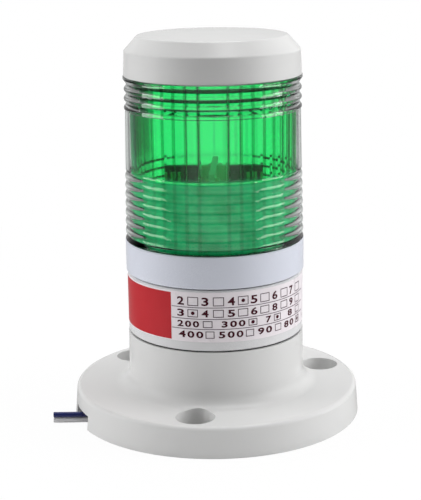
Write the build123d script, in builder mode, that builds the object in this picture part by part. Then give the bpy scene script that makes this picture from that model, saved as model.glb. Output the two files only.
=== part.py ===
from build123d import *
from math import cos, pi, radians, sin, tan
import os

os.makedirs("parts", exist_ok=True)

# One-tier stack light on a round flange. Millimetres, +Z up along the tower.
# The origin is the centre of the flange's standing face, and the front is -Y.
FRONT = -90.0
TURN = 360.0

# Driving sizes of the tower
tower_radius = 24.9
neck_wall = 2.7
flange_radius = 40.9
flange_height = 8.5
neck_rise = 15.6
neck_gap = 0.4
band_height = 17.0
module_gap = 0.4
ring_height = 9.0
lens_seal_height = 0.2
lens_height = 45.4
cap_side_height = 7.0
cap_bevel_rise = 3.9
cap_dome_rise = 0.7

# Clearances
running_gap = 0.3
skirt_gap = 0.2
snug_gap = 0.05
face_gap = 0.1

# Mounting flange
flange_draft = 0.7
flange_wall = 2.8
rim_wall = 2.7
rim_round = 1.2
foot_round = 4.0
neck_draft = 0.2
web_height = 12.0
web_thickness = 2.5
hole_circle_radius = 32.5
hole_count = 3
first_hole_azimuth = -100.3
screw_hole_radius = 2.6
counterbore_radius = 5.4
counterbore_depth = 4.5
screw_boss_wall = 1.6
rib_thickness = 1.2
rib_lift = 0.6
rib_offset = 38.0
notch_azimuth = 199.7
notch_width = 11.2
notch_height = 4.0

# Body housing
body_inset = 0.15
body_wall = 2.35
body_stand = 1.5
body_floor = 2.0
body_spigot_wall = 1.6
body_edge = 0.3

# Fixing screws that hold the body on the flange's web
fixing_count = 3
fixing_inset = 6.9
fixing_first_azimuth = 90.0
fixing_radius = 1.45
fixing_length = 8.0
fixing_boss_wall = 1.3
fixing_boss_height = 2.5
fixing_head_radius = 2.75
fixing_head_height = 1.8
fixing_drive = 1.5

# Bayonet joints
lug_count = 3
lug_arc = 14.0
lug_end_gap = 1.0
lug_height = 1.3
lug_reach = 0.75
lug_lift = 0.6
lug_rise_gap = 0.25
twist = 20.0
module_lug_azimuth = 0.0
lens_lug_azimuth = 40.0
cap_lug_azimuth = 80.0

# Module ring
ring_proud = 0.25
ring_floor = 1.8
ring_wall = 0.8
ring_edge = 0.35
collar_wall = 1.7
collar_drop = 0.9
spigot_length = 5.2
spigot_wall = 1.5

# Outer lens
lens_inset = 0.22
lens_taper = 0.0165
lens_wall = 0.95
lens_root = 0.8
skirt_wall = 0.9
skirt_floor_gap = 1.4
bead_pitch = 2.57
bead_width = 1.15
valley_depth = 0.42
foot_bead_drop = 0.25
lower_bead_count = 7
lower_bead_rise = 0.15
upper_bead_count = 3
upper_bead_rise = 0.3
upper_bead_drop = 3.4
rim_thickness = 0.55
rim_rise = 0.6
lens_step = 0.45
lens_shelf = 1.0
lens_shelf_drop = 0.2
lens_neck_inset = 1.25
lens_neck_wall = 1.2
lens_neck_rise = 5.6
cap_lug_lift = 1.6

# Colour sleeve
sleeve_gap = 0.18
sleeve_wall = 1.45
sleeve_end_gap = 0.15
flute_width = 0.95
flute_depth = 0.65
flute_first = 9.7
flute_pitch = 8.515
flute_count = 41
side_window = (183.0, 227.0)
back_window = (81.0, 99.0)

# Top cap
cap_proud = 0.42
cap_draft = 0.3
cap_lip_height = 1.6
cap_bevel_run = 3.55
cap_top_thickness = 1.8
cap_round = 0.7
cap_edge = 0.25

# Seals
seal_inset = 0.7
lens_seal_width = 0.6
cap_seal_height = 0.6

# Type label
label_thickness = 0.1
label_arc = 300.0
label_drop = 0.5
label_rise = 2.6

# Boards, posts and small screws
board_thickness = 1.6
post_count = 3
post_inset = 3.2
post_radius = 2.4
post_step = 0.8
post_first_azimuth = 30.0
driver_board_lift = 3.5
contact_board_inset = 0.8
screw_head_radius = 2.0
screw_head_height = 1.3
screw_radius = 1.0
screw_length = 5.0
led_base_inset = 0.75
led_screw_inset = 4.6
led_screw_boss_wall = 1.2
led_screw_boss_height = 3.2
led_screw_first_azimuth = 60.0

# LED boards
led_board_gap = 0.5
led_board_height = 25.9
led_board_turn = -2.6
led_width = 2.8
led_length = 3.5
led_depth = 1.1
led_row_count = 5
led_pitch = 4.6
led_first = 4.0
led_edge = 2.9

# Wiping contacts between the body and the module
track_count = 3
track_inner_radius = 3.0
track_gap = 1.85
track_width = 2.0
track_thickness = 0.2
contact_radius = 1.0
contact_tip_radius = 0.55
contact_body_drop = 2.8
contact_azimuth = 90.0

# Parts on the driver board, as plan places and sizes
part_headroom = 2.0
filter_capacitor_gap = 2.2
filter_capacitor_radius = 4.0
filter_capacitor_edge = 0.5
film_capacitor_place = (-6.5, 1.3)
film_capacitor_size = (11.0, 5.0, 8.5)
film_capacitor_edge = 0.8
bridge_place = (-8.0, -5.5)
bridge_radius = 4.4
bridge_height = 5.0
bridge_flat = 3.4
coil_place = (8.0, -6.0)
coil_radius = 3.6
coil_core_radius = 2.4
coil_height = 6.0
coil_rim = 1.0
chip_place = (0.0, -5.6)
chip_size = (4.9, 3.9, 1.5)
chip_leg_size = (0.45, 1.1, 0.8)
chip_leg_pitch = 1.27
chip_leg_count = 4
header_inset = 6.0
header_block_size = (10.2, 2.5, 2.5)
header_pin = 0.64
header_pin_pitch = 2.54
header_pin_count = 4

# Leads and what guides them
lead_radius = 0.75
lead_spacing = 1.6
lead_azimuth = 205.0
grommet_radius = 5.0
grommet_lip = 1.1
grommet_lip_thickness = 0.8
tie_thickness = 0.8
tie_wall = 0.9
connector_width = 4.8
connector_length = 6.4
connector_way = 0.9

# Heights of the stack, from the standing face up
neck_top = flange_height + neck_rise
body_bottom = neck_top + neck_gap
body_top = body_bottom + band_height
ring_bottom = body_top + module_gap
ring_top = ring_bottom + ring_height
lens_bottom = ring_top + lens_seal_height
lens_top = lens_bottom + lens_height
cap_bottom = lens_top + face_gap
cap_shoulder = cap_bottom + cap_side_height
cap_rim = cap_shoulder + cap_bevel_rise
cap_peak = cap_rim + cap_dome_rise


# Helpers

def radial_plane(azimuth):
    """Upright plane through the tower's axis: local x runs outward, local y runs up."""
    outward = Vector(1, 0, 0).rotate(Axis.Z, azimuth)
    return Plane(origin=(0, 0, 0), x_dir=outward, z_dir=outward.rotate(Axis.Z, -90))


def level(height, azimuth=0.0):
    """Level plane at a height above the standing face, its local x at an azimuth."""
    return Plane(origin=(0, 0, height), x_dir=Vector(1, 0, 0).rotate(Axis.Z, azimuth), z_dir=(0, 0, 1))


def spread(count, first):
    """Azimuths of equally spaced features."""
    return [first + index * TURN / count for index in range(count)]


def polar(radius, azimuth):
    """Plan place of a point from its radius and azimuth."""
    return (radius * cos(radians(azimuth)), radius * sin(radians(azimuth)))


def arc_block(start, arc, inner, outer, low, high, mode=Mode.ADD):
    """Turned block between two radii and two heights, over part of a turn."""
    with BuildSketch(radial_plane(start)) as section:
        with Locations(((inner + outer) / 2, (low + high) / 2)):
            Rectangle(outer - inner, high - low)
    revolve(section.sketch, axis=Axis.Z, revolution_arc=arc, mode=mode)


def bayonet_lugs(first, root, tip, low):
    """Lugs on one wall that stand into the other wall's slots."""
    for azimuth in spread(lug_count, first):
        arc_block(azimuth - lug_arc / 2, lug_arc, min(root, tip), max(root, tip), low, low + lug_height)


def bayonet_slots(first, mouth, depth, low, open_end, sense):
    """L-shaped slots: a run round the wall for the twist, then a way out past the wall's edge."""
    inner, outer = min(mouth, depth), max(mouth, depth)
    run_low = low - lug_rise_gap
    run_high = low + lug_height + lug_rise_gap
    way = lug_arc + 2 * lug_end_gap
    for azimuth in spread(lug_count, first):
        rest_start = azimuth - way / 2
        exit_start = rest_start + sense * twist
        arc_block(min(rest_start, exit_start), way + twist, inner, outer, run_low, run_high, Mode.SUBTRACT)
        arc_block(
            exit_start, way, inner, outer, min(run_low, open_end), max(run_high, open_end), Mode.SUBTRACT
        )


def upright_bar(place, radius, low, high, mode=Mode.ADD):
    """Upright round bar or hole at a plan place."""
    with BuildSketch(level(low)) as section:
        with Locations(place):
            Circle(radius)
    extrude(section.sketch, amount=high - low, mode=mode)


def upright_block(place, size, low, mode=Mode.ADD):
    """Upright square-edged block at a plan place."""
    with BuildSketch(level(low)) as section:
        with Locations(place):
            Rectangle(size[0], size[1])
    extrude(section.sketch, amount=size[2], mode=mode)


def washer(inner, outer, low, high):
    """Flat turned ring."""
    with BuildSketch(level(low)) as section:
        Circle(outer)
        Circle(inner, mode=Mode.SUBTRACT)
    extrude(section.sketch, amount=high - low)


def lead_slot(width, length, low, high, mode=Mode.ADD):
    """Upright long-hole shape round the pair of leads."""
    with BuildSketch(level(low, lead_azimuth)) as section:
        SlotOverall(length, width)
    extrude(section.sketch, amount=high - low, mode=mode)


def save(piece, label):
    """Name a finished piece and write it as its own file."""
    piece.part.label = label
    export_step(piece.part, f"parts/{label}.step")


# Mounting flange: a drafted disc, hollow underneath, with a neck and a web inside the neck

neck_bore = tower_radius - neck_wall
neck_foot_radius = tower_radius + neck_draft
flange_top_radius = flange_radius - flange_draft
hollow_radius = flange_radius - rim_wall
plate_underside = flange_height - flange_wall
web_top = web_height + web_thickness
hole_azimuths = spread(hole_count, first_hole_azimuth)
body_spigot_radius = neck_bore - skirt_gap
body_spigot_bore = body_spigot_radius - body_spigot_wall
fixing_circle = body_spigot_bore - fixing_inset
fixing_azimuths = spread(fixing_count, fixing_first_azimuth)
fixing_hole_radius = fixing_radius + skirt_gap


def circle_at(radius, height):
    """Test for a round edge of a radius, centred at a height."""
    return lambda edge: abs(edge.radius - radius) < snug_gap and abs(edge.arc_center.Z - height) < snug_gap


with BuildPart() as mounting_flange:
    with BuildSketch(Plane.XZ):
        with BuildLine():
            Polyline(
                (hollow_radius, 0),
                (flange_radius, 0),
                (flange_top_radius, flange_height),
                (neck_foot_radius, flange_height),
                (tower_radius, neck_top),
                (neck_bore, neck_top),
                (neck_bore, web_top),
                (0, web_top),
                (0, web_height),
                (neck_bore, web_height),
                (neck_bore, plate_underside),
                (hollow_radius, plate_underside),
                close=True,
            )
        make_face()
    revolve(axis=Axis.Z)
    round_edges = mounting_flange.edges().filter_by(GeomType.CIRCLE)
    fillet(round_edges.filter_by(circle_at(flange_top_radius, flange_height)), rim_round)
    round_edges = mounting_flange.edges().filter_by(GeomType.CIRCLE)
    fillet(round_edges.filter_by(circle_at(neck_foot_radius, flange_height)), foot_round)
    for azimuth in hole_azimuths:
        boss_place = polar(hole_circle_radius, azimuth)
        upright_bar(boss_place, counterbore_radius + screw_boss_wall, 0, plate_underside)
        for side in (-rib_offset, rib_offset):
            with BuildSketch(radial_plane(azimuth + side)):
                rib_end = hollow_radius + rim_wall / 2
                with Locations(((neck_bore + rib_end) / 2, (rib_lift + plate_underside) / 2)):
                    Rectangle(rib_end - neck_bore, plate_underside - rib_lift)
            extrude(amount=rib_thickness / 2, both=True)
    mouth_height = flange_height + foot_round
    with Locations(*[(*polar(hole_circle_radius, azimuth), mouth_height) for azimuth in hole_azimuths]):
        CounterBoreHole(screw_hole_radius, counterbore_radius, counterbore_depth + foot_round)
    upright_bar((0, 0), grommet_radius, web_height, web_top, Mode.SUBTRACT)
    for azimuth in fixing_azimuths:
        upright_bar(polar(fixing_circle, azimuth), fixing_hole_radius, web_height, web_top, Mode.SUBTRACT)
    with BuildSketch(level(0, notch_azimuth)):
        with Locations((flange_radius, 0)):
            Rectangle(2 * rim_wall + 2 * rim_round, notch_width)
    extrude(amount=notch_height, mode=Mode.SUBTRACT)
save(mounting_flange, "mounting_flange")


# Grommet in the web: two lips round the web's hole, with a long hole for the pair of leads

lead_hole_width = 2 * (lead_radius + snug_gap)
lead_hole_length = lead_hole_width + lead_spacing

with BuildPart() as lead_grommet:
    upright_bar((0, 0), grommet_radius, web_height, web_top)
    for low in (web_height - grommet_lip_thickness, web_top):
        upright_bar((0, 0), grommet_radius + grommet_lip, low, low + grommet_lip_thickness)
    lip_edges = lead_grommet.edges().filter_by(GeomType.CIRCLE)
    chamfer(
        lip_edges.filter_by(circle_at(grommet_radius + grommet_lip, web_height - grommet_lip_thickness)),
        grommet_lip_thickness / 2,
    )
    lead_slot(
        lead_hole_width,
        lead_hole_length,
        web_height - grommet_lip_thickness,
        web_top + grommet_lip_thickness,
        Mode.SUBTRACT,
    )
save(lead_grommet, "lead_grommet")


# Body housing: a cup with a spigot in the neck, board posts, screw bosses and three slots

body_radius = tower_radius - body_inset
body_bore = body_radius - body_wall
body_floor_bottom = web_top + body_stand
body_floor_top = body_floor_bottom + body_floor
ring_spigot_radius = body_bore - running_gap
ring_spigot_bore = ring_spigot_radius - spigot_wall
ring_spigot_bottom = ring_bottom - spigot_length
module_lug_tip = ring_spigot_radius + lug_reach
module_slot_radius = module_lug_tip + running_gap
module_lug_low = ring_spigot_bottom + lug_lift
driver_board_bottom = body_floor_top + driver_board_lift
driver_board_top = driver_board_bottom + board_thickness
contact_board_top = ring_spigot_bottom
contact_board_bottom = contact_board_top - board_thickness
contact_board_radius = ring_spigot_bore - contact_board_inset
driver_board_radius = body_spigot_bore - running_gap
post_circle = contact_board_radius - post_inset
post_azimuths = spread(post_count, post_first_azimuth)
fixing_boss_top = body_floor_top + fixing_boss_height
connector_hole_width = connector_width + 2 * connector_way
connector_hole_length = connector_length + 2 * connector_way

with BuildPart() as body_housing:
    with BuildSketch(Plane.XZ):
        with BuildLine():
            Polyline(
                (0, body_floor_bottom),
                (body_spigot_radius, body_floor_bottom),
                (body_spigot_radius, body_bottom),
                (body_radius, body_bottom),
                (body_radius, body_top),
                (body_bore, body_top),
                (body_bore, body_bottom + body_spigot_wall),
                (body_spigot_bore, body_bottom),
                (body_spigot_bore, body_floor_top),
                (0, body_floor_top),
                close=True,
            )
        make_face()
    revolve(axis=Axis.Z)
    round_edges = body_housing.edges().filter_by(GeomType.CIRCLE)
    outer_edges = round_edges.filter_by(circle_at(body_radius, body_top))
    outer_edges += round_edges.filter_by(circle_at(body_radius, body_bottom))
    chamfer(outer_edges, body_edge)
    for azimuth in post_azimuths:
        post_place = polar(post_circle, azimuth)
        upright_bar(post_place, post_radius + post_step, body_floor_top, driver_board_bottom)
        upright_bar(post_place, post_radius, body_floor_top, contact_board_bottom)
        upright_bar(
            post_place, screw_radius, contact_board_top - screw_length, contact_board_bottom, Mode.SUBTRACT
        )
    for azimuth in fixing_azimuths:
        boss_place = polar(fixing_circle, azimuth)
        upright_bar(boss_place, fixing_radius + fixing_boss_wall, web_top, fixing_boss_top)
        upright_bar(boss_place, fixing_radius, web_top, web_height + fixing_length, Mode.SUBTRACT)
    with BuildSketch(level(body_floor_bottom, lead_azimuth)):
        RectangleRounded(connector_hole_length, connector_hole_width, connector_way)
    extrude(amount=body_floor, mode=Mode.SUBTRACT)
    bayonet_slots(
        module_lug_azimuth, body_bore - face_gap, module_slot_radius, module_lug_low, body_top + face_gap, 1
    )
save(body_housing, "body_housing")


# Screws: pan heads with a drive recess, and plain shanks for their threads

def pan_screw(place, head_radius, head_height, radius, length, seat, up):
    """Screw whose head's underside is at seat; up is 1 where the shank points up."""
    head_low = seat - head_height if up > 0 else seat
    shank_low = seat if up > 0 else seat - length
    recess_low = head_low if up > 0 else head_low + head_height / 2
    upright_bar(place, head_radius, head_low, head_low + head_height)
    upright_bar(place, radius, shank_low, shank_low + length)
    with BuildSketch(level(recess_low)) as recess:
        with Locations(place):
            RegularPolygon(radius, 6)
    extrude(recess.sketch, amount=head_height / 2, mode=Mode.SUBTRACT)


with BuildPart() as housing_screws:
    for azimuth in fixing_azimuths:
        pan_screw(
            polar(fixing_circle, azimuth),
            fixing_head_radius,
            fixing_head_height,
            fixing_radius - snug_gap,
            fixing_length,
            web_height,
            1,
        )
save(housing_screws, "housing_screws")

with BuildPart() as board_screws:
    for azimuth in post_azimuths:
        pan_screw(
            polar(post_circle, azimuth),
            screw_head_radius,
            screw_head_height,
            screw_radius - snug_gap,
            screw_length,
            contact_board_top,
            -1,
        )
save(board_screws, "board_screws")


# Seals and the type label on the body

with BuildPart() as neck_seal:
    washer(body_spigot_radius + snug_gap, tower_radius - seal_inset, neck_top, body_bottom)
save(neck_seal, "neck_seal")

with BuildPart() as module_seal:
    washer(module_slot_radius + face_gap, body_radius - seal_inset, body_top + snug_gap, ring_bottom)
save(module_seal, "module_seal")

with BuildPart() as type_label:
    arc_block(
        FRONT - label_arc / 2,
        label_arc,
        body_radius,
        body_radius + label_thickness,
        body_bottom + label_rise,
        body_top - label_drop,
    )
save(type_label, "type_label")


# Boards in the body

track_outer_radius = post_circle - screw_head_radius - track_gap - track_width / 2
track_pitch = (track_outer_radius - track_inner_radius) / (track_count - 1)
track_radii = [track_inner_radius + index * track_pitch for index in range(track_count)]


def round_board(radius, bottom, hole_circle, hole_radius, azimuths):
    """Round circuit board with a circle of holes."""
    with BuildSketch(level(bottom)) as outline:
        Circle(radius)
        with Locations(*[polar(hole_circle, azimuth) for azimuth in azimuths]):
            Circle(hole_radius, mode=Mode.SUBTRACT)
    extrude(outline.sketch, amount=board_thickness)


with BuildPart() as driver_board:
    post_hole_radius = post_radius + face_gap
    round_board(driver_board_radius, driver_board_bottom, post_circle, post_hole_radius, post_azimuths)
save(driver_board, "driver_board")

with BuildPart() as contact_board:
    round_board(contact_board_radius, contact_board_bottom, post_circle, screw_radius, post_azimuths)
save(contact_board, "contact_board")

with BuildPart() as contact_tracks:
    for radius in track_radii:
        inner_edge = radius - track_width / 2
        washer(inner_edge, inner_edge + track_width, contact_board_top, contact_board_top + track_thickness)
save(contact_tracks, "contact_tracks")


# Parts on the driver board

part_room = contact_board_bottom - driver_board_top
filter_capacitor_offset = post_circle - post_radius - filter_capacitor_gap - filter_capacitor_radius
filter_capacitor_place = polar(filter_capacitor_offset, post_first_azimuth)
header_place = (0, contact_board_radius - header_inset)

with BuildPart() as filter_capacitor:
    can_top = driver_board_top + part_room - part_headroom
    upright_bar(filter_capacitor_place, filter_capacitor_radius, driver_board_top, can_top)
    chamfer(filter_capacitor.faces().sort_by(Axis.Z)[-1].edges(), filter_capacitor_edge)
save(filter_capacitor, "filter_capacitor")

with BuildPart() as film_capacitor:
    upright_block(film_capacitor_place, film_capacitor_size, driver_board_top)
    fillet(film_capacitor.edges().filter_by(Axis.Z), film_capacitor_edge)
save(film_capacitor, "film_capacitor")

with BuildPart() as bridge_rectifier:
    with BuildSketch(level(driver_board_top)):
        with Locations(bridge_place):
            Circle(bridge_radius)
        with Locations((bridge_place[0], bridge_place[1] + bridge_flat + bridge_radius)):
            Rectangle(2 * bridge_radius, 2 * bridge_radius, mode=Mode.SUBTRACT)
    extrude(amount=bridge_height)
save(bridge_rectifier, "bridge_rectifier")

with BuildPart() as choke_coil:
    coil_top = driver_board_top + coil_height
    upright_bar(coil_place, coil_core_radius, driver_board_top, coil_top)
    upright_bar(coil_place, coil_radius, driver_board_top, driver_board_top + coil_rim)
    upright_bar(coil_place, coil_radius, coil_top - coil_rim, coil_top)
save(choke_coil, "choke_coil")

with BuildPart() as driver_chip:
    upright_block(chip_place, chip_size, driver_board_top)
    leg_row = (chip_size[1] + chip_leg_size[1]) / 2
    for side in (-leg_row, leg_row):
        for index in range(chip_leg_count):
            leg_x = chip_place[0] + (index - (chip_leg_count - 1) / 2) * chip_leg_pitch
            upright_block((leg_x, chip_place[1] + side), chip_leg_size, driver_board_top)
save(driver_chip, "driver_chip")

with BuildPart() as link_header:
    upright_block(header_place, header_block_size, driver_board_top)
    for index in range(header_pin_count):
        pin_x = header_place[0] + (index - (header_pin_count - 1) / 2) * header_pin_pitch
        pin_size = (header_pin, header_pin, contact_board_bottom - driver_board_top)
        upright_block((pin_x, header_place[1]), pin_size, driver_board_top)
save(link_header, "link_header")


# Module ring: outer wall, seal channel, inner collar, floor and a spigot with lugs

ring_radius = tower_radius + ring_proud
channel_radius = ring_radius - ring_wall
skirt_radius = channel_radius - skirt_gap
skirt_bore = skirt_radius - skirt_wall
collar_radius = skirt_bore - skirt_gap
collar_bore = collar_radius - collar_wall
collar_top = ring_top - collar_drop
ring_floor_top = ring_bottom + ring_floor
skirt_bottom = ring_floor_top + skirt_floor_gap
lens_lug_tip = skirt_bore - lug_reach
lens_slot_radius = lens_lug_tip - skirt_gap
lens_lug_low = skirt_bottom + lug_lift
led_base_radius = collar_bore - led_base_inset
led_screw_circle = led_base_radius - led_screw_inset
led_screw_azimuths = spread(post_count, led_screw_first_azimuth)
contact_places = [polar(radius, contact_azimuth) for radius in track_radii]

with BuildPart() as module_ring:
    with BuildSketch(Plane.XZ):
        with BuildLine():
            Polyline(
                (0, ring_bottom),
                (ring_spigot_bore, ring_bottom),
                (ring_spigot_bore, ring_spigot_bottom),
                (ring_spigot_radius, ring_spigot_bottom),
                (ring_spigot_radius, ring_bottom),
                (ring_radius, ring_bottom),
                (ring_radius, ring_top),
                (channel_radius, ring_top),
                (channel_radius, ring_floor_top),
                (collar_radius, ring_floor_top),
                (collar_radius, collar_top),
                (collar_bore, collar_top),
                (collar_bore, ring_floor_top),
                (0, ring_floor_top),
                close=True,
            )
        make_face()
    revolve(axis=Axis.Z)
    round_edges = module_ring.edges().filter_by(GeomType.CIRCLE)
    outer_edges = round_edges.filter_by(circle_at(ring_radius, ring_bottom))
    outer_edges += round_edges.filter_by(circle_at(ring_radius, ring_top))
    chamfer(outer_edges, ring_edge)
    bayonet_lugs(module_lug_azimuth, ring_spigot_radius - face_gap, module_lug_tip, module_lug_low)
    bayonet_slots(
        lens_lug_azimuth, collar_radius + face_gap, lens_slot_radius, lens_lug_low, collar_top + face_gap, 1
    )
    for azimuth in led_screw_azimuths:
        boss_place = polar(led_screw_circle, azimuth)
        boss_low = ring_bottom - led_screw_boss_height
        upright_bar(boss_place, screw_radius + led_screw_boss_wall, boss_low, ring_bottom)
        upright_bar(boss_place, screw_radius, boss_low, ring_floor_top, Mode.SUBTRACT)
    for place in contact_places:
        upright_bar(place, contact_radius + snug_gap, ring_bottom, ring_floor_top, Mode.SUBTRACT)
save(module_ring, "module_ring")


# LED boards: a round base board and two upright boards that lap across each other

led_base_top = ring_floor_top + board_thickness
led_board_width = 2 * (led_screw_circle - screw_head_radius - led_board_gap)
led_offset = led_board_width / 2 - led_edge
led_board_top = led_base_top + led_board_height
lap_height = led_base_top + led_board_height / 2
lap_width = board_thickness + 2 * snug_gap

with BuildPart() as led_base_board:
    round_board(led_base_radius, ring_floor_top, led_screw_circle, screw_radius, led_screw_azimuths)
save(led_base_board, "led_base_board")


def upright_board(azimuth, lap_low, lap_high):
    """Upright board through the axis, with the lap slot over its other half."""
    with BuildSketch(radial_plane(azimuth)) as outline:
        with Locations((0, (led_base_top + led_board_top) / 2)):
            Rectangle(led_board_width, led_board_height)
        with Locations((0, (lap_low + lap_high) / 2)):
            Rectangle(lap_width, lap_high - lap_low, mode=Mode.SUBTRACT)
    extrude(outline.sketch, amount=board_thickness / 2, both=True)


with BuildPart() as led_board_front:
    upright_board(led_board_turn, lap_height - snug_gap, led_board_top)
save(led_board_front, "led_board_front")

with BuildPart() as led_board_cross:
    upright_board(led_board_turn + FRONT, led_base_top, lap_height + snug_gap)
save(led_board_cross, "led_board_cross")

with BuildPart() as leds:
    led_middle = led_base_top + led_first + (led_row_count - 1) * led_pitch / 2
    for azimuth in (led_board_turn, led_board_turn + FRONT):
        for side in (-1, 1):
            with BuildSketch(radial_plane(azimuth).offset(side * board_thickness / 2)):
                with Locations((0, led_middle)):
                    with GridLocations(2 * led_offset, led_pitch, 2, led_row_count):
                        Rectangle(led_width, led_length)
            extrude(amount=side * led_depth)
save(leds, "leds")

with BuildPart() as led_screws:
    for azimuth in led_screw_azimuths:
        pan_screw(
            polar(led_screw_circle, azimuth),
            screw_head_radius,
            screw_head_height,
            screw_radius - snug_gap,
            screw_length,
            led_base_top,
            -1,
        )
save(led_screws, "led_screws")

with BuildPart() as spring_contacts:
    barrel_low = ring_bottom - contact_body_drop
    for place in contact_places:
        upright_bar(place, contact_radius, barrel_low, ring_floor_top)
        upright_bar(place, contact_tip_radius, contact_board_top + track_thickness + snug_gap, barrel_low)
save(spring_contacts, "spring_contacts")


# Outer lens: a tapered clear tube with two groups of turned beads, a skirt and a neck

lens_shelf_top = lens_top + lens_shelf
lens_shelf_bottom = lens_top - lens_shelf_drop
lens_neck_top = lens_shelf_top + lens_neck_rise


def lens_radius(height):
    """Plain outside radius of the lens, which tapers towards the cap."""
    return ring_radius - lens_inset - lens_taper * (height - lens_bottom)


lens_step_radius = lens_radius(lens_top) - lens_step
lens_neck_radius = lens_step_radius - lens_neck_inset
lens_neck_bore = lens_neck_radius - lens_neck_wall
lens_bore_top = lens_radius(lens_top) - lens_wall
cap_lug_low = lens_shelf_top + cap_lug_lift
cap_lug_tip = lens_neck_radius + lug_reach
bead_half = bead_width / 2


def on_lens(height, rise=0.0):
    """Profile point on the lens at a height, raised or sunk from its plain radius."""
    return (lens_radius(height) + rise, height)


def valley(bead_middle):
    """Sharp hollow above a bead."""
    Polyline(
        on_lens(bead_middle + bead_half),
        on_lens(bead_middle + bead_pitch / 2, -valley_depth),
        on_lens(bead_middle + bead_pitch - bead_half),
    )


def bead_group(first, count, rise):
    """Rounded beads at the pitch, each with a hollow above it."""
    for index in range(count):
        middle = first + index * bead_pitch
        ThreePointArc(on_lens(middle - bead_half), on_lens(middle, rise), on_lens(middle + bead_half))
        valley(middle)


foot_bead = lens_bottom - foot_bead_drop
lower_end = foot_bead + (lower_bead_count + 1) * bead_pitch - bead_half
upper_last = lens_top - upper_bead_drop
upper_first = upper_last - (upper_bead_count - 1) * bead_pitch

with BuildPart() as outer_lens:
    with BuildSketch(Plane.XZ):
        with BuildLine():
            Polyline(
                (skirt_bore, lens_bottom + lens_root),
                (skirt_bore, skirt_bottom),
                (skirt_radius, skirt_bottom),
                (skirt_radius, lens_bottom),
                on_lens(lens_bottom, lower_bead_rise),
                on_lens(foot_bead + bead_half),
            )
            valley(foot_bead)
            bead_group(foot_bead + bead_pitch, lower_bead_count, lower_bead_rise)
            Line(on_lens(lower_end), on_lens(upper_first - bead_half))
            bead_group(upper_first, upper_bead_count, upper_bead_rise)
            Polyline(
                on_lens(upper_last + bead_pitch - bead_half),
                on_lens(lens_top - rim_thickness, rim_rise),
                on_lens(lens_top, rim_rise),
                (lens_step_radius, lens_top),
                (lens_step_radius, lens_shelf_top),
                (lens_neck_radius, lens_shelf_top),
                (lens_neck_radius, lens_neck_top),
                (lens_neck_bore, lens_neck_top),
                (lens_neck_bore, lens_shelf_bottom),
                (lens_bore_top, lens_shelf_bottom),
                (lens_radius(lens_bottom + 2 * lens_root) - lens_wall, lens_bottom + 2 * lens_root),
                (skirt_bore, lens_bottom + lens_root),
            )
        make_face()
    revolve(axis=Axis.Z)
    bayonet_lugs(lens_lug_azimuth, skirt_bore + face_gap, lens_lug_tip, lens_lug_low)
    bayonet_lugs(cap_lug_azimuth, lens_neck_radius - face_gap, cap_lug_tip, cap_lug_low)
save(outer_lens, "outer_lens")

with BuildPart() as lens_seal:
    lens_seal_radius = lens_radius(lens_bottom) - snug_gap
    washer(lens_seal_radius - lens_seal_width, lens_seal_radius, ring_top, lens_bottom)
save(lens_seal, "lens_seal")

with BuildPart() as cap_seal:
    cap_seal_bore = lens_neck_radius + snug_gap
    washer(cap_seal_bore, lens_step_radius - snug_gap, lens_shelf_top, lens_shelf_top + cap_seal_height)
save(cap_seal, "cap_seal")


# Colour sleeve: a tube with sharp upright flutes inside and two plain windows

sleeve_radius = lens_bore_top - sleeve_gap
sleeve_bore = sleeve_radius - sleeve_wall
sleeve_bottom = collar_top + sleeve_end_gap
sleeve_top = lens_shelf_bottom - sleeve_end_gap

with BuildPart() as colour_sleeve:
    with BuildSketch(level(sleeve_bottom)):
        Circle(sleeve_radius)
        Circle(sleeve_bore, mode=Mode.SUBTRACT)
        for index in range(flute_count):
            flute_azimuth = (FRONT + flute_first + index * flute_pitch) % TURN
            if not any(low < flute_azimuth < high for low, high in (side_window, back_window)):
                with BuildLine():
                    groove_root = polar(sleeve_bore + flute_depth, flute_azimuth)
                    half_turn = flute_width / 2 / radians(sleeve_bore)
                    Polyline(
                        polar(sleeve_bore - face_gap, flute_azimuth - half_turn),
                        groove_root,
                        polar(sleeve_bore - face_gap, flute_azimuth + half_turn),
                        close=True,
                    )
                make_face(mode=Mode.SUBTRACT)
    extrude(amount=sleeve_top - sleeve_bottom)
save(colour_sleeve, "colour_sleeve")


# Top cap: a drafted side, a bevel and a low dome, with slots inside for the lens's lugs

cap_radius = lens_radius(lens_top) + cap_proud
cap_lip_bore = lens_step_radius + running_gap
cap_lip_top = cap_bottom + cap_lip_height
cap_bore = lens_neck_radius + running_gap
cap_slot_radius = cap_lug_tip + running_gap
cap_shoulder_radius = cap_radius - cap_draft
cap_rim_radius = cap_shoulder_radius - cap_bevel_run
cap_inner_rim = cap_rim - cap_top_thickness

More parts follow.
